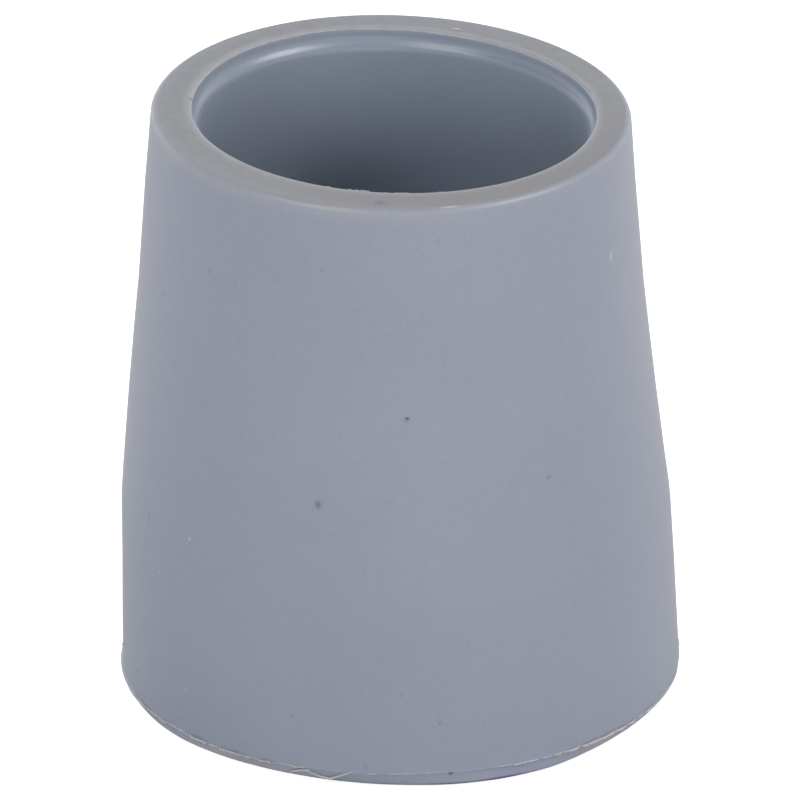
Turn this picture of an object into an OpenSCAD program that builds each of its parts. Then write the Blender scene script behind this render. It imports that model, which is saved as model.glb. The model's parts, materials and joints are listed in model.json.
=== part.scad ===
// Rubber tip that is pushed onto the end of a round tubular shaft, such as that
// of a cane, a crutch or a chair leg. It is one solid moulding, round about the
// Z axis. It stands on its tread at Z = 0, and its mouth is at the top.

/* [Shaft bore] */
// Diameter of the shaft that the tip is pushed onto
shaft_d = 25.4; // [16:0.1:32]
// How much smaller than the shaft the bore is moulded, on the diameter, so that it grips
grip = 0.3; // [0:0.05:1]
// Thickness of the rubber under the end of the shaft
floor_h = 8; // [4:0.5:14]
// Radius where the wall of the bore meets its floor
floor_round = 1; // [0.2:0.1:3]

/* [Mouth] */
// Step on the radius from the recess in the mouth to the bore
mouth_step = 0.6; // [0.3:0.05:2]
// Depth of the recess, from the rim to where its wall starts to slope in
mouth_depth = 0.82; // [0.5:0.02:4]
// Height of the slope that leads the shaft from the recess into the bore
lead_in_h = 0.46; // [0.2:0.02:3]
// Radius of the hollow corner at the foot of the recess
hollow_round = 0.7; // [0.1:0.05:1]
// Radius of the shoulder where the slope meets the bore
shoulder_round = 0.75; // [0.1:0.05:1]
// Radius of the inner edge of the rim
inner_edge_round = 0.08; // [0.02:0.02:0.3]

/* [Outer wall] */
// Overall height, from the tread to the rim
tip_h = 40; // [30:0.5:70]
// Width of the flat rim, from the recess to the outer edge
rim_w = 2.45; // [1.5:0.05:5]
// Radius of the outer edge of the rim
rim_round = 0.35; // [0.1:0.05:0.8]
// Height of the neck, below the rim
neck_h = 12; // [4:0.5:14]
// Draft of the neck, in degrees
neck_draft = 4.3; // [0:0.1:8]
// Draft of the flare between the neck and the foot, in degrees
flare_draft = 5.7; // [0:0.1:12]
// Radius of the soft bends above and below the flare
bend_round = 20; // [2:1:60]

/* [Foot] */
// Height of the foot, from the tread to the flare
foot_h = 12.5; // [5:0.5:15]
// Draft of the foot, in degrees
foot_draft = 1.7; // [0:0.1:5]
// Height of the line where the mould parts
parting_h = 1.15; // [0.8:0.05:3]
// How far the ridge at the parting line stands out
ridge_out = 0.08; // [0.02:0.01:0.3]
// Height of that ridge
ridge_h = 0.24; // [0.1:0.02:0.5]
// How far the foot steps in below the parting line
below_step = 0.1; // [0:0.02:0.5]
// Radius of the lower edge, where the foot turns into the tread
tread_round = 0.45; // [0.1:0.05:0.6]

/* [Tread] */
// Radius of the round pad in the middle of the tread
pad_r = 3.4; // [1:0.1:6]
// Width of each ring groove, at the tread
groove_w = 1.6; // [0.6:0.1:2.4]
// Width of each ring of rubber between two grooves
ring_w = 1.9; // [1.2:0.1:4]
// Depth of the grooves
groove_h = 1.4; // [0.5:0.1:2.5]
// Draft of the walls of the grooves, in degrees
groove_draft = 8; // [0:1:12]
// Least width of the ring of rubber outside the last groove
edge_ring_w = 2.4; // [1.2:0.1:4]

/* [Hidden] */
// Most that one straight piece of a rounded corner turns through, in degrees
arc_step = 7.5;
// Angle between two sides, in degrees, past which they count as one straight side
straight = 179.9;
$fn = 128;

bore_r = (shaft_d - grip) / 2;
mouth_r = bore_r + mouth_step;
rim_r = mouth_r + rim_w;
neck_z = tip_h - neck_h;
neck_r = rim_r + neck_h * tan(neck_draft);
foot_r = neck_r + (neck_z - foot_h) * tan(flare_draft);
tread_r = foot_wall_r(0) - below_step;
groove_pitch = groove_w + ring_w;
groove_count = floor((tread_r - edge_ring_w - pad_r + ring_w) / groove_pitch);

// Radius of the foot's outer wall at height z, without the ridge
function foot_wall_r(z) = foot_r + (foot_h - z) * tan(foot_draft);

// Points of the arc that rounds corner b, between its neighbours a and c, to
// radius r. The arc uses up at most half of the shorter side.
function rounded(a, b, c, r) =
    let(
        to_a = (a - b) / norm(a - b),
        to_c = (c - b) / norm(c - b),
        between = acos(max(-1, to_a * to_c))
    )
    between > straight ? [b] :
    let(
        reach = min(r / tan(between / 2), norm(a - b) / 2, norm(c - b) / 2),
        arc_r = reach * tan(between / 2),
        centre = b + (to_a + to_c) / norm(to_a + to_c) * arc_r / sin(between / 2),
        first = b + to_a * reach - centre,
        turn = (180 - between) * sign(to_c[0] * to_a[1] - to_c[1] * to_a[0]),
        pieces = ceil(abs(turn) / arc_step)
    )
    [for (i = [0:pieces]) centre + rotated(first, turn * i / pieces)];

// Point p turned about the origin by angle degrees
function rotated(p, angle) =
    [p[0] * cos(angle) - p[1] * sin(angle), p[0] * sin(angle) + p[1] * cos(angle)];

// Closed outline through corners [[x, y], radius]. A radius of 0 leaves a corner sharp.
function rounded_outline(corners) =
    let(n = len(corners))
    [for (i = [0:n - 1])
        let(before = corners[(i + n - 1) % n][0], here = corners[i][0], after = corners[(i + 1) % n][0])
        for (p = corners[i][1] > 0 ? rounded(before, here, after, corners[i][1]) : [here]) p];

// Half section of the moulding without its tread pattern: out along the tread,
// up the outer wall, over the rim, and down the bore to its floor
module wall_section() {
    ridge_low = parting_h - ridge_h / 2;
    ridge_top = parting_h + ridge_h / 2;
    polygon(rounded_outline([
        [[0, 0], 0],
        [[tread_r, 0], tread_round],
        [[foot_wall_r(ridge_low) - below_step, ridge_low], 0],
        [[foot_wall_r(parting_h) + ridge_out, parting_h], 0],
        [[foot_wall_r(ridge_top), ridge_top], 0],
        [[foot_r, foot_h], bend_round],
        [[neck_r, neck_z], bend_round],
        [[rim_r, tip_h], rim_round],
        [[mouth_r, tip_h], inner_edge_round],
        [[mouth_r, tip_h - mouth_depth], hollow_round],
        [[bore_r, tip_h - mouth_depth - lead_in_h], shoulder_round],
        [[bore_r, floor_h], floor_round],
        [[0, floor_h], 0]
    ]));
}

// Half section of the ring groove whose inner radius at the tread is inner_r
module groove_section(inner_r) {
    outer_r = inner_r + groove_w;
    slope = groove_h * tan(groove_draft);
    polygon([[inner_r, 0], [outer_r, 0], [outer_r - slope, groove_h], [inner_r + slope, groove_h]]);
}

module rubber_tip() {
    color("slategray")
        rotate_extrude()
            difference() {
                wall_section();
                for (i = [0:groove_count - 1])
                    groove_section(pad_r + i * groove_pitch);
            }
}

rubber_tip();
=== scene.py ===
import json
import math

import bmesh
import bpy
from mathutils import Matrix, Vector, noise


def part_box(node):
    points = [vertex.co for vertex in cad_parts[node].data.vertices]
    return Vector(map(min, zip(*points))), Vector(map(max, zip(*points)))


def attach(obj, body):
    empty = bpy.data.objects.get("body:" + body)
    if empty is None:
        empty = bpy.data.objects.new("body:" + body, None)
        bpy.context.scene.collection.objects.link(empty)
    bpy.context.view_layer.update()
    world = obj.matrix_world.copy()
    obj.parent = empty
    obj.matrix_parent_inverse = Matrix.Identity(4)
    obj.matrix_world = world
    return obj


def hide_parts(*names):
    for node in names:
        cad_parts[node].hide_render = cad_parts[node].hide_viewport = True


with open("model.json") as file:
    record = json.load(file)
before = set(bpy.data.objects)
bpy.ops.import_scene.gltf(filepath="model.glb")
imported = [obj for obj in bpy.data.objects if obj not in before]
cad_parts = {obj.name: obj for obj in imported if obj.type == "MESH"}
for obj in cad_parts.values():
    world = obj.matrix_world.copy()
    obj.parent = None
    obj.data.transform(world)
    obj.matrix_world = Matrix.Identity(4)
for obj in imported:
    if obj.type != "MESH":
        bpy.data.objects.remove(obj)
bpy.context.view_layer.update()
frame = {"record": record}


# Camera. A long lens, a little under a metre in front of the tip and 26 degrees up,
# level from side to side, so the sides of the tip show almost no perspective.
image_px = 800
sensor_mm = 36.0
focal_px = 14132.3
look_down = math.radians(25.71)
camera_away = 0.927
camera_aim = Vector((0.000372, 0.0, 0.019172))

lens = bpy.data.cameras.new("studio_camera")
lens.sensor_width = sensor_mm
lens.lens = focal_px * sensor_mm / image_px
lens.clip_start = 0.05
lens.clip_end = 20.0
camera = bpy.data.objects.new("studio_camera", lens)
camera.location = camera_aim + camera_away * Vector((0.0, -math.cos(look_down), math.sin(look_down)))
camera.rotation_euler = (math.pi / 2 - look_down, 0.0, 0.0)
bpy.context.scene.collection.objects.link(camera)
bpy.context.scene.camera = camera
bpy.context.scene.view_settings.view_transform = "Standard"


# The moulding. One piece of thermoplastic rubber, shot into a two-part mould round a
# core pin and trimmed flush at the mouth: a flared outer wall, a blind bore with a
# recess and a soft shoulder at its mouth, and ring grooves in the tread.
mm = 0.001

# Bore and mouth, in millimetres. Depths, and the two heights of the shoulder, are down
# from the rim, and widenings and steps are outwards from the bore.
tip_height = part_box("rubber_tip")[1].z / mm
bore_radius = frame["record"]["mounts"][0]["dims"]["r_mm"]
bore_floor = 8.0
floor_rounding = 1.0
throat_depth = 7.0
throat_widening = 0.09
shoulder_low = 1.90
shoulder_high = 1.30
shoulder_widening = 0.10
shoulder_rounding = 0.90
recess_step = 0.6
recess_depth = 0.76
recess_rounding = 0.70
mouth_radius = bore_radius + recess_step
mouth_rounding = 0.30
mouth_edge_width = 0.62
rim_width = 2.45
rim_radius = mouth_radius + rim_width
rim_rounding = 0.45

# Outer wall, ridge at the parting line, and tread. Heights are up from the tread.
neck_radius = 16.502
neck_height = 28.0
foot_radius = 18.049
foot_height = 12.5
foot_widening = math.tan(math.radians(1.7))
bend_rounding = 20.0
ridge_low = 1.03
parting_height = 1.15
ridge_top = 1.27
ridge_half_height = 0.12
ridge_out = 0.025
ridge_rounding = 0.05
ridge_top_rounding = 0.06
tread_radius = 18.320
tread_rounding = 0.45
groove_starts = (3.4, 6.9, 10.4, 13.9)
groove_width = 1.6
groove_depth = 1.4
groove_taper = groove_depth * math.tan(math.radians(8.0))
groove_edge_rounding = 0.12
groove_root_rounding = 0.2

# How finely the section is divided. A rounding takes a little under half of a side.
longest_side = 0.8
spin_steps = 300
small_rounding = 0.25
fine_arc = 5.0
coarse_arc = 30.0
fewest_arc_pieces = 3
side_share = 2.02
weld_gap = 0.001


def foot_wall(height):
    """Radius of the foot's outer wall at a height."""
    return foot_radius + (foot_height - height) * foot_widening


def spin_full_turn(section, steps):
    """Spin a section round the axis: a tenth of a turn first, then nine copies of it."""
    wedges = 10
    axis = {"cent": (0.0, 0.0, 0.0), "axis": (0.0, 0.0, 1.0), "dvec": (0.0, 0.0, 0.0)}
    bmesh.ops.spin(
        section, geom=section.verts[:] + section.edges[:], angle=2 * math.pi / wedges,
        steps=steps // wedges, use_merge=False, use_normal_flip=False, use_duplicate=False, **axis,
    )
    bmesh.ops.spin(
        section, geom=section.verts[:] + section.edges[:] + section.faces[:],
        angle=2 * math.pi * (wedges - 1) / wedges, steps=wedges - 1, use_merge=False,
        use_normal_flip=False, use_duplicate=True, **axis,
    )
    bmesh.ops.remove_doubles(section, verts=section.verts, dist=weld_gap)


# Corners of the half section, from the middle of the tread to the middle of the bore's
# floor: radius, height and rounding, in millimetres.
corners = [(0.0, 0.0, 0.0)]
for start in groove_starts:
    corners += [
        (start, 0.0, groove_edge_rounding),
        (start + groove_taper, groove_depth, groove_root_rounding),
        (start + groove_width - groove_taper, groove_depth, groove_root_rounding),
        (start + groove_width, 0.0, groove_edge_rounding),
    ]
corners += [
    (tread_radius, 0.0, tread_rounding),
    (foot_wall(ridge_low) - ridge_out, ridge_low, ridge_rounding),
    (foot_wall(parting_height) + ridge_out, parting_height, ridge_rounding),
    (foot_wall(ridge_top), ridge_top, ridge_top_rounding),
    (foot_radius, foot_height, bend_rounding),
    (neck_radius, neck_height, bend_rounding),
    (rim_radius, tip_height, rim_rounding),
    (mouth_radius + mouth_edge_width, tip_height, 0.0),
    (mouth_radius, tip_height, mouth_rounding),
    (mouth_radius, tip_height - recess_depth, recess_rounding),
    (bore_radius + shoulder_widening, tip_height - shoulder_high, shoulder_rounding),
    (bore_radius + throat_widening, tip_height - shoulder_low, 0.0),
    (bore_radius, tip_height - throat_depth, bend_rounding),
    (bore_radius, bore_floor, floor_rounding),
    (0.0, bore_floor, 0.0),
]
shell = bmesh.new()
points = [shell.verts.new((radius, 0.0, height)) for radius, height, rounding in corners]
for point, following in zip(points, points[1:]):
    shell.edges.new((point, following))
for previous, (radius, height, rounding), following in zip(corners, corners[1:], corners[2:]):
    if rounding == 0.0:
        continue
    here = Vector((radius, 0.0, height))
    to_previous = Vector((previous[0], 0.0, previous[1])) - here
    to_following = Vector((following[0], 0.0, following[1])) - here
    turn = math.pi - to_previous.angle(to_following)
    longest_reach = min(to_previous.length, to_following.length) / side_share
    corner = min(shell.verts, key=lambda vert: (vert.co - here).length)
    arc_step = fine_arc if rounding > small_rounding else coarse_arc
    bmesh.ops.bevel(
        shell, geom=[corner], offset=min(rounding * math.tan(turn / 2), longest_reach),
        offset_type="OFFSET", affect="VERTICES",
        segments=max(fewest_arc_pieces, math.ceil(math.degrees(turn) / arc_step)),
        profile=0.5, material=-1,
    )
for edge in [edge for edge in shell.edges if edge.calc_length() > longest_side]:
    pieces = math.ceil(edge.calc_length() / longest_side)
    bmesh.ops.subdivide_edges(shell, edges=[edge], cuts=pieces - 1)
spin_full_turn(shell, spin_steps)

# How the cooled rubber differs from the drawing, in millimetres. The lean of the wall to
# the right goes by height. The height of the parting line, the wave of the tread's edge,
# the rise of the shoulder and how proud the ridge stands go by turn, in degrees.
lean = [
    (0, 0.46), (2, 0.40), (4, 0.347), (8, 0.25), (11.3, 0.14), (15, 0.008), (20, -0.117),
    (25, -0.189), (30, -0.22), (35, -0.247), (40, -0.20),
]
parting_line = [
    (-180, 0.40), (-163, 0.40), (-155, 0.51), (-148, 0.60), (-142, 0.70), (-128, 0.78), (-120, 0.84),
    (-113, 0.95), (-100, 0.98), (-90, 1.05), (-80, 1.02), (-70, 0.97), (-55, 0.93), (-40, 0.88),
    (-26, 0.83), (10, 0.80), (60, 0.90), (110, 0.95), (150, 0.70), (180, 0.40),
]
tread_edge = [
    (-180, 0.08), (-170, 0.16), (-160, 0.05), (-149, 0.16), (-141, 0.15), (-132, -0.02), (-122, -0.20),
    (-111, -0.28), (-100, -0.24), (-90, -0.12), (-80, 0.07), (-70, 0.17), (-58, 0.14), (-48, -0.16),
    (-39, -0.32), (-30, -0.37), (-22, -0.31), (-16, -0.19), (-8, -0.02), (30, 0.05), (75, -0.12),
    (115, 0.04), (150, -0.08), (180, 0.05),
]
shoulder_rise = [
    (-180, 0.0), (-20, 0.0), (10, 0.22), (35, 0.34), (49, 0.28), (75, 0.14), (105, 0.04),
    (130, 0.0), (180, 0.0),
]
ridge_proud = [(-180, 0.145), (-168, 0.145), (-158, 0.0), (168, 0.0), (180, 0.145)]

# Where each of these starts and ends, then the slope of the trimmed rim, and the place
# and shape of the core pin, whose mouth end is shorter from front to back and askew.
wave_radius = 15.5
wave_run = 2.0
wave_height = 1.0
wall_radius = 16.5
sway_height = 4.0
rise_start = 0.4
bore_gap = 0.01
rim_slope = (-0.0212, -0.0045)
slope_power = 4
pin_root = 2.0
pin_shift = (0.19, 0.170)
mouth_flattening = 0.0135
back_skew = 0.062
front_skew = 0.020


def between(table, where):
    """What a table of (place, value) gives at a place, with a straight run between its rows."""
    for (first, start), (last, end) in zip(table, table[1:]):
        if first <= where <= last:
            return start + (end - start) * (where - first) / (last - first)
    return table[0][1] if where < table[0][0] else table[-1][1]


def fade(share):
    """From 1 down to 0 as share goes from 0 to 1, level at both ends."""
    return 1.0 - share * share * (3.0 - 2.0 * share)


def as_moulded(point):
    """Where a point of the drawn section lies on the real moulding, in millimetres."""
    radius = math.hypot(point.x, point.y)
    angle = math.degrees(math.atan2(point.y, point.x))
    x, y, z = point
    push = 0.0
    if radius > wave_radius and z < wave_height:
        ring_share = min((radius - wave_radius) / wave_run, 1.0)
        push = between(tread_edge, angle) * ring_share * fade(z / wave_height)
    elif radius > wall_radius and ridge_low < z < ridge_top:
        push = between(ridge_proud, angle) * (1.0 - abs(z - parting_height) / ridge_half_height)
    if push:
        x *= 1.0 + push / radius
        y *= 1.0 + push / radius
    if radius > wall_radius and z < sway_height:
        line = between(parting_line, angle)
        if z < ridge_low:
            z *= (line - ridge_half_height) / ridge_low
        elif z < ridge_top:
            z += line - parting_height
        else:
            z += (line - parting_height) * (sway_height - z) / (sway_height - ridge_top)
    drop = tip_height - z
    if radius < mouth_radius + bore_gap and rise_start < drop < throat_depth:
        if drop < shoulder_low:
            z += between(shoulder_rise, angle) * (drop - rise_start) / (shoulder_low - rise_start)
        else:
            z += between(shoulder_rise, angle) * (throat_depth - drop) / (throat_depth - shoulder_low)
    share = z / tip_height
    if z > bore_floor - pin_root:
        inside = min(max((rim_radius - radius) / (rim_radius - mouth_radius), 0.0), 1.0)
        inside *= min((z - bore_floor + pin_root) / pin_root, 1.0)
        x += pin_shift[0] * inside
        skew = back_skew if y > 0.0 else front_skew
        y += (pin_shift[1] - mouth_flattening * y - skew * x * abs(y) / mouth_radius) * inside
    z += (rim_slope[0] * x + rim_slope[1] * (y - rim_radius)) * share ** slope_power
    return Vector((x + between(lean, min(z, tip_height)), y, z))


# Where the surface isn't plain moulded skin, in millimetres down from the rim and across
# it. The rim is a matt cut face. Its outer edge is pale, partly rubbed wear and partly a
# painted highlight on its rounding and on the wall just below, most at the left. Its inner
# edge is pale, partly torn and partly a painted highlight, most at the back, and is
# sharpest at the front. The bead of the shoulder is polished by the core pin.
cut_depth = 0.12
flat_depth = 0.012
cut_start = 0.02
cut_end = 0.4
outer_wear_highlight_width = 0.46
outer_wear_highlight_depth = 1.1
rim_wear_highlight = 0.45
outer_wear_highlight = 0.70
wear_highlight_to_left = 0.65
wear_highlight_to_front = 0.15
least_wear_highlight = 0.1
inner_wear_highlight_width = 0.32
inner_wear_highlight_depth = 0.3
inner_skin = 0.004
inner_wear_highlight = 0.65
wear_highlight_to_back = 0.4
faint_wear_highlight = 0.2
lining_depth = 0.25
lining_below = 0.1
bead_depth = 1.15
bead_height = 0.6
soft_reach = 0.31
softness = 0.75
soft_to_back = 0.25

trimmed = shell.verts.layers.float.new("trimmed")
outer_edge = shell.verts.layers.float.new("outer_edge")
inner_edge = shell.verts.layers.float.new("inner_edge")
polished = shell.verts.layers.float.new("polished")
sawn = shell.verts.layers.float.new("sawn")
inside_bore = shell.verts.layers.float.new("inside_bore")
for vert in shell.verts:
    radius = math.hypot(vert.co.x, vert.co.y)
    drop = tip_height - vert.co.z
    if drop < outer_wear_highlight_depth and radius > rim_radius - outer_wear_highlight_width:
        by_side = outer_wear_highlight - (wear_highlight_to_left * vert.co.x + wear_highlight_to_front * vert.co.y) / radius
        if drop < cut_depth:
            by_depth = rim_wear_highlight + (1.0 - rim_wear_highlight) * drop / cut_depth
        else:
            by_depth = 1.0 - (drop - cut_depth) / (outer_wear_highlight_depth - cut_depth)
        vert[outer_edge] = by_depth * max(by_side, least_wear_highlight)
    if drop < inner_wear_highlight_depth and radius < mouth_radius + inner_wear_highlight_width:
        by_side = inner_wear_highlight + wear_highlight_to_back * vert.co.y / radius
        vert[inner_edge] = by_side if inner_skin < drop < cut_depth else faint_wear_highlight * by_side
    if drop < cut_depth and radius > mouth_radius + inner_wear_highlight_width:
        vert[sawn] = 1.0 - drop / cut_depth
    if drop < flat_depth and mouth_radius - cut_start < radius < rim_radius - cut_end:
        vert[trimmed] = 1.0
    above_floor = vert.co.z > bore_floor - lining_below
    if radius < mouth_radius + bore_gap and drop > lining_depth and above_floor:
        vert[inside_bore] = 1.0
        vert[polished] = max(1.0 - abs(drop - bead_depth) / bead_height, 0.0)
    if drop < soft_reach and radius < mouth_radius + soft_reach:
        soft = softness + soft_to_back * vert.co.y / radius
        narrower = (mouth_radius + (radius - mouth_radius) * soft) / radius
        vert.co = Vector((vert.co.x * narrower, vert.co.y * narrower, tip_height - drop * soft))
    vert.co = as_moulded(vert.co)


def to_object(shape, name):
    """A closed shape in millimetres, as a smooth object of the scene."""
    bmesh.ops.scale(shape, vec=(mm, mm, mm), verts=shape.verts)
    bmesh.ops.recalc_face_normals(shape, faces=shape.faces)
    for face in shape.faces:
        face.smooth = True
    mesh = bpy.data.meshes.new(name)
    shape.to_mesh(mesh)
    shape.free()
    made = bpy.data.objects.new(name, mesh)
    bpy.context.scene.collection.objects.link(made)
    return made


moulding = to_object(shell, "tip_moulding")


def new_material(name):
    """An empty node material, with its node tree and shader."""
    material = bpy.data.materials.new(name)
    material.use_nodes = True
    tree = material.node_tree
    return material, tree, tree.nodes["Principled BSDF"]


def add_noise(tree, coordinates, size, detail, roughness=0.5):
    """A noise whose features are about size metres across."""
    texture = tree.nodes.new("ShaderNodeTexNoise")
    texture.normalize = True
    texture.inputs["Scale"].default_value = 1.0 / size
    texture.inputs["Detail"].default_value = detail
    texture.inputs["Roughness"].default_value = roughness
    tree.links.new(coordinates, texture.inputs["Vector"])
    return texture.outputs["Fac"]


def add_layer(tree, name):
    """The value of one of the mesh's layers."""
    layer = tree.nodes.new("ShaderNodeAttribute")
    layer.attribute_name = name
    return layer.outputs["Fac"]


def add_range(tree, value, low_in, high_in, low_out, high_out, smooth=False):
    """value from low_in to high_in becomes low_out to high_out."""
    ranger = tree.nodes.new("ShaderNodeMapRange")
    ranger.interpolation_type = "SMOOTHSTEP" if smooth else "LINEAR"
    for socket, number in zip(ranger.inputs[1:5], (low_in, high_in, low_out, high_out)):
        socket.default_value = number
    tree.links.new(value, ranger.inputs["Value"])
    return ranger.outputs["Result"]


def add_patches(tree, pattern, least, most):
    """From least to most over the range that a noise mostly keeps to."""
    return add_range(tree, pattern, 0.3, 0.7, least, most)


def add_mix(tree, share, first, second):
    """A colour that goes from first to second as share goes from 0 to 1."""
    mixer = tree.nodes.new("ShaderNodeMix")
    mixer.data_type = "RGBA"
    tree.links.new(share, mixer.inputs[0])
    for socket, colour in ((mixer.inputs[6], first), (mixer.inputs[7], second)):
        if isinstance(colour, tuple):
            socket.default_value = colour + (1.0,)
        else:
            tree.links.new(colour, socket)
    return mixer.outputs[2]


def add_math(tree, operation, first, second):
    """first and second, sockets or numbers, put through one operation."""
    worker = tree.nodes.new("ShaderNodeMath")
    worker.operation = operation
    for socket, value in zip(worker.inputs, (first, second)):
        if isinstance(value, float):
            socket.default_value = value
        else:
            tree.links.new(value, socket)
    return worker.outputs[0]


# Moulded skin: two close blue-greys in soft clouds, then tints where the mottle and the
# grain are high or low. Each row: pattern, where the tint starts, where it is full, its
# share there, and the tint.
rubber, tree, shader = new_material("grey_moulded_rubber")
place = tree.nodes.new("ShaderNodeTexCoord").outputs["Object"]
split = tree.nodes.new("ShaderNodeSeparateXYZ")
tree.links.new(place, split.inputs["Vector"])
across, along, up = split.outputs
half_across = add_math(tree, "MULTIPLY", across, 0.5)
cloud = add_noise(tree, place, 0.012, 3.0)
mottle = add_noise(tree, place, 0.0016, 4.0, 0.65)
grain = add_noise(tree, place, 0.00026, 2.0, 0.6)
skin = add_noise(tree, place, 0.0011, 2.0)
blue_greys = ((0.260, 0.286, 0.357), (0.272, 0.298, 0.369))
skin_tints = [
    (mottle, 0.50, 0.75, 0.16, (0.322, 0.316, 0.375)),
    (mottle, 0.48, 0.28, 0.18, (0.208, 0.262, 0.325)),
    (grain, 0.50, 0.75, 0.13, (0.37, 0.375, 0.43)),
    (grain, 0.50, 0.25, 0.15, (0.17, 0.205, 0.26)),
]
colour = add_mix(tree, add_patches(tree, cloud, 0.0, 1.0), *blue_greys)
for pattern, starts, full, most, tint in skin_tints:
    colour = add_mix(tree, add_range(tree, pattern, starts, full, 0.0, most, True), colour, tint)

# Painted shade: darker and bluer towards the foot, fading out 30 mm above the tread.
painted_foot_shade_tint = (0.18, 0.215, 0.295)
painted_foot_shade_share = 0.155
painted_foot_shade_low = 0.001
painted_foot_shade_high = 0.030
painted_foot_shade = add_range(tree, up, painted_foot_shade_low, painted_foot_shade_high, painted_foot_shade_share, 0.0)
colour = add_mix(tree, painted_foot_shade, colour, painted_foot_shade_tint)

# Cut face of the rim, greyer than the skin, with a ragged border, and darker towards the
# front right.
cut_greys = ((0.238, 0.249, 0.274), (0.268, 0.280, 0.305))
darker_front_right_grey = (0.236, 0.237, 0.258)
front_right_starts = 0.003
front_right_full = 0.016
raggedness = 0.15
cut_border = 0.5
cut_cloud = add_noise(tree, place, 0.0007, 4.0, 0.6)
cut_colour = add_mix(tree, add_patches(tree, cut_cloud, 0.0, 1.0), *cut_greys)
to_front_right = add_math(tree, "SUBTRACT", half_across, along)
darker_front_right = add_range(tree, to_front_right, front_right_starts, front_right_full, 0.0, 1.0)
cut_colour = add_mix(tree, darker_front_right, cut_colour, darker_front_right_grey)
wander = add_range(tree, skin, 0.0, 1.0, -raggedness, raggedness)
ragged = add_math(tree, "ADD", add_layer(tree, "trimmed"), wander)
cut_share = add_range(tree, ragged, 0.0, cut_border, 0.0, 1.0, True)
colour = add_mix(tree, cut_share, colour, cut_colour)

# Pale edges of the rim, partly wear and partly a painted highlight. Each row: layer, least
# and most share of the pale, and its tint at the front and at the back. The inner edge
# comes last, because it is matt as well.
front_ends = -0.008
back_starts = 0.010
towards_back = add_range(tree, along, front_ends, back_starts, 0.0, 1.0)
edge_wear_and_highlight = [
    ("outer_edge", 0.40, 0.70, (0.335, 0.341, 0.362), (0.320, 0.343, 0.416)),
    ("inner_edge", 0.55, 0.85, (0.330, 0.330, 0.345), (0.365, 0.382, 0.435)),
]
# The pale of each edge is part wear, part painted highlight.
for layer, least, most, front_tint, back_tint in edge_wear_and_highlight:
    patchy = add_patches(tree, skin, least, most)
    worn_and_highlit = add_math(tree, "MULTIPLY", add_layer(tree, layer), patchy)
    colour = add_mix(tree, worn_and_highlit, colour, add_mix(tree, towards_back, front_tint, back_tint))
matt = add_math(tree, "MAXIMUM", add_layer(tree, "sawn"), worn_and_highlit)

# Lining of the bore, a little greener, with painted shade darkening it low down and at the left.
lining_tint = (0.21, 0.29, 0.355)
painted_bore_shade_tint = (0.11, 0.15, 0.19)
lining_share = 0.25
painted_bore_shade_share = 0.24
bore_shade_starts = 0.035
bore_shade_full = 0.024
lining = add_layer(tree, "inside_bore")
colour = add_mix(tree, add_math(tree, "MULTIPLY", lining, lining_share), colour, lining_tint)
# Painted shade: darker deeper in the bore and towards the left.
up_and_right = add_math(tree, "ADD", half_across, up)
painted_bore_shade = add_range(tree, up_and_right, bore_shade_starts, bore_shade_full, 0.0, painted_bore_shade_share)
colour = add_mix(tree, add_math(tree, "MULTIPLY", lining, painted_bore_shade), colour, painted_bore_shade_tint)

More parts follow.
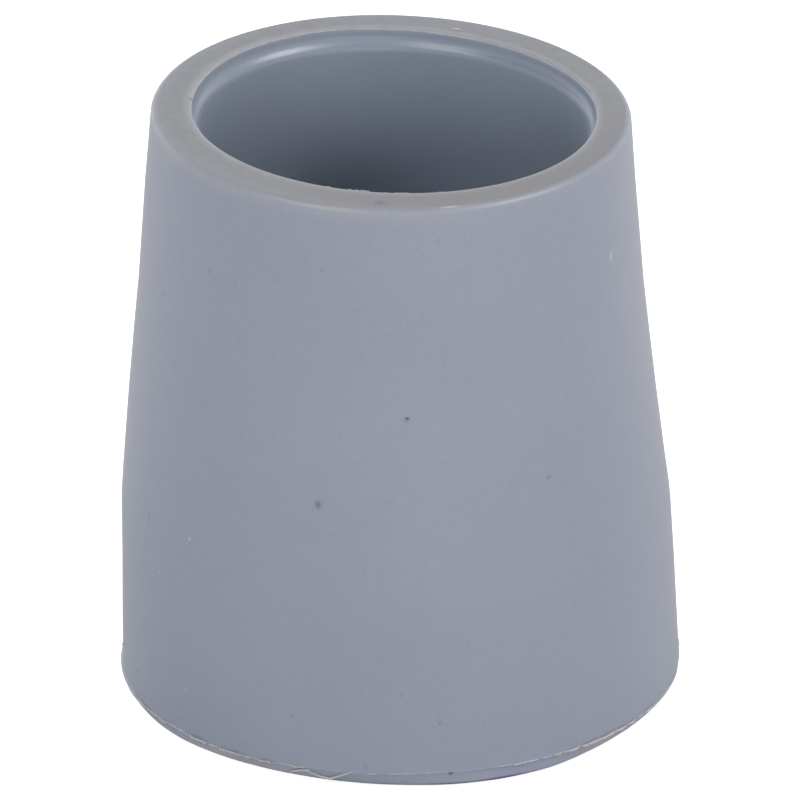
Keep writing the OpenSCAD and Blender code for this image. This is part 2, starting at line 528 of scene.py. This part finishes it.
# Marks on the outer wall: grit and dust that were moulded in, violet-grey bands along the
# edge of the tread, a painted contact shadow at its front right, a stain, a scuff and light
# rubs, and last those of the hidden side. Each row: turn in degrees, height, width,
# tallness, tilt, share and tint.
# Dark grit, also used for the painted shadow beside the nick on the rim.
dark_grit_and_shadow = (0.045, 0.055, 0.060)
red_grit = (0.060, 0.020, 0.035)
brown_dust = (0.16, 0.12, 0.13)
pale_rub = (0.46, 0.46, 0.46)
violet_stain = (0.17, 0.16, 0.24)
wall_marks = [
    (-106.10, 19.67, 0.52, 0.66, 0, 0.42, dark_grit_and_shadow),
    (-106.10, 19.67, 0.95, 1.15, 0, 0.13, dark_grit_and_shadow),
    (-86.50, 25.85, 0.42, 0.30, 0, 0.72, red_grit),
    (-86.50, 25.75, 0.85, 0.75, 0, 0.15, red_grit),
    (-54.06, 20.39, 0.58, 0.44, 10, 0.27, dark_grit_and_shadow),
    (-136.27, 33.56, 0.44, 0.54, 15, 0.22, red_grit),
    (-154.46, 30.02, 0.60, 0.46, 0, 0.16, dark_grit_and_shadow),
    (-160.25, 2.73, 0.55, 0.36, 0, 0.50, dark_grit_and_shadow),
    (-112.59, 4.53, 0.40, 0.40, 0, 0.22, dark_grit_and_shadow),
    (-97.22, 1.62, 0.55, 0.50, 0, 0.16, dark_grit_and_shadow),
    (-79.89, 1.08, 0.50, 0.36, 0, 0.60, red_grit),
    (-139.77, 3.84, 0.40, 0.40, 0, 0.30, pale_rub),
    (-81.75, 4.62, 0.40, 0.40, 0, 0.28, dark_grit_and_shadow),
    (-79.06, 37.83, 0.62, 0.46, 0, 0.16, brown_dust),
    (-105.95, 35.60, 0.56, 0.46, 0, 0.13, red_grit),
    (-89.50, 6.65, 0.40, 0.36, 0, 0.16, dark_grit_and_shadow),
    # Violet-grey bands along the edge of the tread, some paler and some darker than the skin.
    (-38.0, 0.55, 9.0, 1.60, 0, 0.40, (0.35, 0.32, 0.41)),
    (-50.0, 0.55, 6.0, 1.60, 0, 0.40, (0.32, 0.29, 0.40)),
    (-44.0, 0.45, 6.0, 1.40, 0, 0.45, (0.40, 0.38, 0.44)),
    (-65.0, 0.50, 8.0, 1.50, 0, 0.40, (0.24, 0.22, 0.38)),
    (-113.0, 0.40, 7.0, 1.30, 0, 0.55, (0.39, 0.37, 0.44)),
    (-127.0, 0.40, 12.0, 1.30, 0, 0.55, (0.39, 0.37, 0.44)),
    # Painted contact shadow: dark along the front right of the tread's edge, where it meets the floor.
    (-80.0, 0.08, 5.5, 0.55, 0, 0.80, (0.03, 0.03, 0.07)),
    (-69.0, 0.08, 7.0, 0.62, 0, 1.00, (0.02, 0.02, 0.05)),
    (-153.90, 14.45, 0.34, 1.45, 14, 0.42, violet_stain),
    (-27.66, 33.19, 0.75, 0.95, 4, 0.50, pale_rub),
    (-138.41, 14.84, 0.30, 0.36, 0, 0.95, pale_rub),
    (-148.78, 11.23, 0.26, 0.46, -10, 0.40, pale_rub),
    (60.0, 22.4, 0.50, 0.42, 0, 0.30, dark_grit_and_shadow),
    (97.0, 9.3, 0.42, 0.44, 0, 0.26, dark_grit_and_shadow),
    (128.0, 30.5, 0.44, 0.36, 0, 0.22, red_grit),
    (18.0, 12.6, 0.44, 0.36, 0, 0.24, dark_grit_and_shadow),
    (152.0, 17.9, 0.36, 0.50, 0, 0.24, dark_grit_and_shadow),
    (81.0, 34.2, 0.50, 0.80, 8, 0.30, pale_rub),
]

# Marks on the rim: a stain and a pale cream streak at the front, a speck at the back, a dark
# nick at the left of the mouth, and at the back a pale nick with a painted shadow on its
# inner side. Each row: turn in degrees, radius, width round the rim, width across it,
# share and tint.
rim_marks = [
    (-93.1, 14.66, 1.05, 1.10, 0.75, (0.17, 0.16, 0.26)),
    (-75.8, 15.33, 1.70, 0.22, 0.66, (0.60, 0.58, 0.50)),
    (109.7, 15.18, 0.60, 0.60, 0.70, violet_stain),
    (111.8, 15.40, 0.50, 0.50, 0.75, dark_grit_and_shadow),
    (175.8, 13.22, 0.50, 0.40, 0.75, (0.10, 0.08, 0.07)),
    (72.6, 14.05, 0.95, 0.20, 0.65, (0.80, 0.79, 0.78)),
    # Painted shadow on the inner side of the pale nick.
    (72.0, 13.75, 0.70, 0.30, 0.22, dark_grit_and_shadow),
]
wall_mark_depth = 1.2
rim_mark_depth = 1.0
mark_core = 0.25
outer_wall = [
    (ridge_top, foot_wall(ridge_top)), (foot_height, foot_radius), (neck_height, neck_radius),
    (tip_height, rim_radius),
]


def add_mark(tree, place, colour, centre, angles, sizes, depth, tint):
    """Tint the colour inside one soft-edged ellipsoid: centre in metres, sizes in mm."""
    mapping = tree.nodes.new("ShaderNodeMapping")
    mapping.vector_type = "TEXTURE"
    mapping.inputs["Location"].default_value = centre
    mapping.inputs["Rotation"].default_value = angles
    mapping.inputs["Scale"].default_value = [size / 2 * mm for size in sizes]
    tree.links.new(place, mapping.inputs["Vector"])
    away = tree.nodes.new("ShaderNodeVectorMath")
    away.operation = "LENGTH"
    tree.links.new(mapping.outputs["Vector"], away.inputs[0])
    share = add_range(tree, away.outputs["Value"], 1.0, mark_core, 0.0, depth, True)
    return add_mix(tree, share, colour, tint)


def on_wall(degrees, height, outwards=0.0):
    """A point of the real outer wall, in metres, a little outwards of it if asked."""
    turn = math.radians(degrees)
    radius = between(outer_wall, height) + outwards
    return as_moulded(Vector((radius * math.cos(turn), radius * math.sin(turn), height))) * mm


def on_rim(degrees, radius):
    """A point of the real rim, in metres."""
    turn = math.radians(degrees)
    return as_moulded(Vector((radius * math.cos(turn), radius * math.sin(turn), tip_height))) * mm


for degrees, height, width, tall, tilt, depth, tint in wall_marks:
    angles = (math.radians(tilt), 0.0, math.radians(degrees))
    sizes = (wall_mark_depth, width, tall)
    colour = add_mark(tree, place, colour, on_wall(degrees, height), angles, sizes, depth, tint)
for degrees, radius, width, wide, depth, tint in rim_marks:
    angles = (0.0, 0.0, math.radians(degrees))
    sizes = (wide, width, rim_mark_depth)
    colour = add_mark(tree, place, colour, on_rim(degrees, radius), angles, sizes, depth, tint)
tree.links.new(colour, shader.inputs["Base Color"])

# Gloss and relief: half-gloss skin, rougher where it was cut or torn and smoother on the
# bead, with a fine pebble and grain.
skin_roughness = (0.34, 0.40)
matt_added = 0.38
polish_taken = 0.14
pebble_share = 0.6
bump_strength = 0.35
bump_height = 0.00002
rough = add_patches(tree, cloud, *skin_roughness)
rough = add_math(tree, "ADD", rough, add_math(tree, "MULTIPLY", matt, matt_added))
smoothed = add_math(tree, "MULTIPLY", add_layer(tree, "polished"), polish_taken)
rough = add_math(tree, "SUBTRACT", rough, smoothed)
tree.links.new(rough, shader.inputs["Roughness"])
relief = add_math(tree, "ADD", add_math(tree, "MULTIPLY", skin, pebble_share), grain)
bump = tree.nodes.new("ShaderNodeBump")
bump.inputs["Strength"].default_value = bump_strength
bump.inputs["Distance"].default_value = bump_height
tree.links.new(relief, bump.inputs["Height"])
tree.links.new(bump.outputs["Normal"], shader.inputs["Normal"])
moulding.data.materials.append(rubber)

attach(moulding, "root")
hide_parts("rubber_tip")


# Parting flash. The thin fin of rubber that was squeezed out between the two halves of
# the mould, torn off by hand, so only ragged lengths of it are left along the line.

# Each length: the turns where it starts and ends, in degrees, and how much of it is left.
flash_lengths = [
    (-165, -162, 0.60), (-162, -155, 0.74), (-155, -139.8, 0.70), (-139.6, -133.5, 0.90),
    (-133, -130.4, 0.80), (-130, -122, 0.90), (-121.7, -117.3, 0.82), (-117, -110, 0.75),
    (-97, -95, 0.50), (-92.5, -87, 0.50), (-86.5, -84, 0.38), (-69.6, -67, 0.50),
    (-66.7, -61, 0.64), (-60, -57.5, 0.56), (-57, -54, 0.84), (-53.7, -50.5, 0.80),
    (-50, -45, 0.98), (-44.6, -37, 0.98), (-36.5, -33.5, 0.74), (-33, -24, 0.72),
    (-23, -16, 0.62), (2, 12, 0.50), (15, 31, 0.75), (44, 52, 0.60), (66, 69, 0.50),
    (83, 104, 0.80), (118, 124, 0.60), (137, 160, 0.70), (168, 176, 0.60),
]

# Section of the fin in millimetres, how far it is sunk where nothing is left and stands
# out where all is, how its thickness goes with that, and the fineness of its tears.
flash_steps = 2400
flash_out = 0.07
flash_half_width = 0.11
flash_half_thick = 0.07
flash_sunk = 0.26
flash_reach = 0.30
flash_lip = 0.06
flash_lip_from = 0.5
flash_overlap = 0.4
flash_taper = 0.5
flash_thinnest = 0.35
flash_thickest = 1.45
flash_thickening = 2.0
flash_thinned = 0.7
flash_lift = 0.02
flash_sway = 0.035
sway_fineness = 23.0
sway_seed = Vector((0.0, 0.0, 4.0))
fine_tears = 90.0
fine_tear_share = 0.35
coarse_tears = 31.0
coarse_tear_share = 0.4


def flash_left(degrees):
    """How much of the fin is left at an angle, from 0 to 1."""
    for first, last, strength in flash_lengths:
        if first - flash_overlap < degrees < last + flash_overlap:
            ends = min(degrees - first + flash_overlap, last + flash_overlap - degrees)
            return strength * min(ends / flash_taper, 1.0)
    return 0.0


def thin_ring(sides, half_width, half_thick, radius, height, steps):
    """A thin closed ring round the axis, with a section of so many sides."""
    ring = bmesh.new()
    upright = Matrix.Rotation(math.pi / 2, 4, "X")
    bmesh.ops.create_circle(ring, segments=sides, radius=1.0, matrix=upright)
    bmesh.ops.scale(ring, vec=(half_width, 1.0, half_thick), verts=ring.verts)
    bmesh.ops.translate(ring, vec=(radius, 0.0, height), verts=ring.verts)
    spin_full_turn(ring, steps)
    return ring


fin = thin_ring(
    8, flash_half_width, flash_half_thick, foot_wall(parting_height) + flash_out, parting_height,
    flash_steps,
)
for vert in fin.verts:
    turn = math.atan2(vert.co.y, vert.co.x)
    around = Vector((math.cos(turn), math.sin(turn), 0.0))
    tears = noise.noise(around * fine_tears) * fine_tear_share
    tears += noise.noise(around * coarse_tears) * coarse_tear_share
    left = flash_left(math.degrees(turn)) * (1.0 + tears)
    outwards = flash_reach * min(left, 1.0) + flash_lip * max(left - flash_lip_from, 0.0) - flash_sunk
    sway = flash_sway * noise.noise(around * sway_fineness + sway_seed)
    thickness = flash_thickening * left - flash_thinned
    thickness = min(max(thickness, flash_thinnest), flash_thickest)
    vert.co.z = parting_height + (vert.co.z - parting_height) * thickness
    vert.co = as_moulded(vert.co + around * outwards + Vector((0.0, 0.0, sway + flash_lift * left)))
parting_flash = to_object(fin, "parting_flash")

torn, tree, shader = new_material("torn_rubber_edge")
torn_greys = ((0.350, 0.360, 0.385), (0.480, 0.480, 0.490))
torn_roughness = 0.6
place = tree.nodes.new("ShaderNodeTexCoord").outputs["Object"]
tear = add_noise(tree, place, 0.0005, 3.0)
colour = add_mix(tree, add_patches(tree, tear, 0.0, 1.0), *torn_greys)
tree.links.new(colour, shader.inputs["Base Color"])
shader.inputs["Roughness"].default_value = torn_roughness
parting_flash.data.materials.append(torn)
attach(parting_flash, "root")


# Mouth burr. A hair-fine raised lip that the trimming knife left on the inner edge of the
# rim, sharpest at the front. It is the same rubber, torn and pale.

# Each length: the turns where it starts and ends, in degrees, and how much it stands up.
burr_lengths = [
    (-119, -113, 0.4), (-109, -104, 0.5), (-103, -97, 0.8), (-95, -91, 0.5), (-90, -86, 0.8),
    (-80, -76, 0.4), (-70, -64, 0.3), (100, 118, 0.25),
]

# Section of the lip in millimetres, how far it is sunk where there is no burr and rises
# where it is full, how it leans inwards as it rises, and the fineness of its jags.
burr_steps = 1800
burr_half_thick = 0.05
burr_out = 0.02
burr_drop = 0.03
burr_sunk = 0.11
burr_reach = 0.16
burr_lean = 0.5
burr_evenness = 0.7
burr_jaggedness = 0.6
coarse_jags = 60.0
fine_jags = 140.0
fine_jag_share = 0.6
jag_seed = Vector((0.0, 0.0, 9.0))
burr = thin_ring(
    6, burr_half_thick, burr_half_thick, mouth_radius + burr_out, tip_height - burr_drop, burr_steps,
)
for vert in burr.verts:
    turn = math.atan2(vert.co.y, vert.co.x)
    degrees = math.degrees(turn)
    around = Vector((math.cos(turn), math.sin(turn), 0.0))
    strength = max([share for first, last, share in burr_lengths if first <= degrees <= last] or [0.0])
    jag = noise.noise(around * coarse_jags + jag_seed)
    jag += fine_jag_share * noise.noise(around * fine_jags)
    rise = burr_reach * strength * (burr_evenness + burr_jaggedness * jag) - burr_sunk
    vert.co = as_moulded(vert.co - around * (burr_lean * rise + burr_out) + Vector((0.0, 0.0, rise)))
mouth_burr = to_object(burr, "mouth_burr")
mouth_burr.data.materials.append(torn)
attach(mouth_burr, "root")


# Loose sliver. A thread of torn flash that hangs on at the front of the tread's edge: it
# comes off the parting line, dips in a V towards the floor and runs back up.

# Each knot: turn in degrees, height, and share of the full thickness.
sliver_path = [
    (-113.33, 0.52, 0.6), (-110.99, 0.88, 1.0), (-109.13, 1.02, 1.0), (-108.61, 0.83, 0.8),
    (-106.70, 0.57, 0.9), (-104.71, 0.42, 1.0), (-102.46, 0.86, 1.0), (-99.91, 1.26, 0.5),
]
sliver_radius = 0.09
sliver_out = 0.05
thread = bpy.data.curves.new("base_sliver", "CURVE")
thread.dimensions = "3D"
thread.bevel_depth = sliver_radius * mm
thread.bevel_resolution = 2
thread.resolution_u = 6
thread.use_fill_caps = True
run = thread.splines.new("POLY")
run.points.add(len(sliver_path) - 1)
for knot, (degrees, height, thick) in zip(run.points, sliver_path):
    knot.co = on_wall(degrees, height, sliver_out).to_4d()
    knot.radius = thick
base_sliver = bpy.data.objects.new("base_sliver", thread)
bpy.context.scene.collection.objects.link(base_sliver)
thread.materials.append(torn)
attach(base_sliver, "root")


# Floor. A wide sheet of matt card under the tip and out to the back, which glows evenly,
# so that it looks white and takes almost no shadow.
floor_half_width = 3.0
card_whites = ((0.52, 0.52, 0.52), (0.56, 0.56, 0.56))
glow_seen = 0.80
glow_mirrored = 0.10
card = bmesh.new()
bmesh.ops.create_grid(card, x_segments=8, y_segments=8, size=floor_half_width)
floor_mesh = bpy.data.meshes.new("studio_floor")
card.to_mesh(floor_mesh)
card.free()
floor = bpy.data.objects.new("studio_floor", floor_mesh)
bpy.context.scene.collection.objects.link(floor)
paper, tree, shader = new_material("lit_card")
place = tree.nodes.new("ShaderNodeTexCoord").outputs["Object"]
fibre = add_noise(tree, place, 0.002, 3.0)
tree.links.new(add_mix(tree, fibre, *card_whites), shader.inputs["Base Color"])
shader.inputs["Roughness"].default_value = 0.9
shader.inputs["Emission Color"].default_value = (1.0, 1.0, 1.0, 1.0)
ray = tree.nodes.new("ShaderNodeLightPath").outputs
seen = add_math(tree, "MULTIPLY", ray["Is Camera Ray"], glow_seen)
mirrored = add_math(tree, "MULTIPLY", ray["Is Glossy Ray"], glow_mirrored)
tree.links.new(add_math(tree, "ADD", seen, mirrored), shader.inputs["Emission Strength"])
floor_mesh.materials.append(paper)


# Studio light. Six soft boxes round the tip and two that only make highlights, each aimed
# at it, inside a pale room that is brightest low down at the back and dark overhead.
box_away = 0.8
box_side = 0.35
box_aim = Vector((0.0, 0.0, 0.02))

# Each row: name, turn from the front and height angle in degrees, watts, colour, and the
# kind of shading that the box takes part in.
soft_boxes = [
    ("front_low_box", 6, 12, 2.60, (1.0, 0.985, 0.975), "diffuse"),
    ("left_front_box", -47, 42, 1.92, (0.985, 0.99, 0.985), "diffuse"),
    ("right_box", 82, 43, 2.76, (1.0, 0.98, 0.95), "diffuse"),
    ("left_back_box", -135, 12, 2.92, (0.99, 0.95, 0.93), "diffuse"),
    ("back_box", 180, 12, 5.0, (1.0, 1.0, 1.0), "diffuse"),
    ("right_back_box", 140, 12, 1.68, (1.0, 0.90, 0.82), "diffuse"),
    ("left_glint_box", -41, 56, 1.42, (1.0, 0.95, 0.88), "glossy"),
    ("right_glint_box", 78, 50, 2.55, (1.0, 0.94, 0.86), "glossy"),
]
for name, turn, rise, watts, hue, use in soft_boxes:
    turn = math.radians(turn)
    rise = math.radians(rise)
    box = bpy.data.lights.new(name, "AREA")
    box.shape = "SQUARE"
    box.size = box_side
    box.energy = watts
    box.color = hue
    box_object = bpy.data.objects.new(name, box)
    box_object.visible_glossy = use == "glossy"
    box_object.visible_diffuse = use == "diffuse"
    box_object.location = box_away * Vector(
        (math.sin(turn) * math.cos(rise), -math.cos(turn) * math.cos(rise), math.sin(rise))
    )
    to_tip = box_aim - box_object.location
    box_object.rotation_euler = to_tip.to_track_quat("-Z", "Y").to_euler()
    bpy.context.scene.collection.objects.link(box_object)

world = bpy.data.worlds.new("pale_room")
world.use_nodes = True
tree = world.node_tree
outward = tree.nodes.new("ShaderNodeSeparateXYZ")
tree.links.new(tree.nodes.new("ShaderNodeTexCoord").outputs["Generated"], outward.inputs["Vector"])
front_light = 0.6
back_light = 1.6
front_wall_ends = -0.2
low_wall = add_range(tree, outward.outputs["Z"], 0.0, 1.0, 1.0, 0.0, True)
back_wall = add_range(tree, outward.outputs["Y"], front_wall_ends, 1.0, front_light, back_light, True)
room_light = tree.nodes["Background"].inputs
tree.links.new(add_math(tree, "MULTIPLY", low_wall, back_wall), room_light["Strength"])
room_light["Color"].default_value = (1.0, 1.0, 1.0, 1.0)
bpy.context.scene.world = world
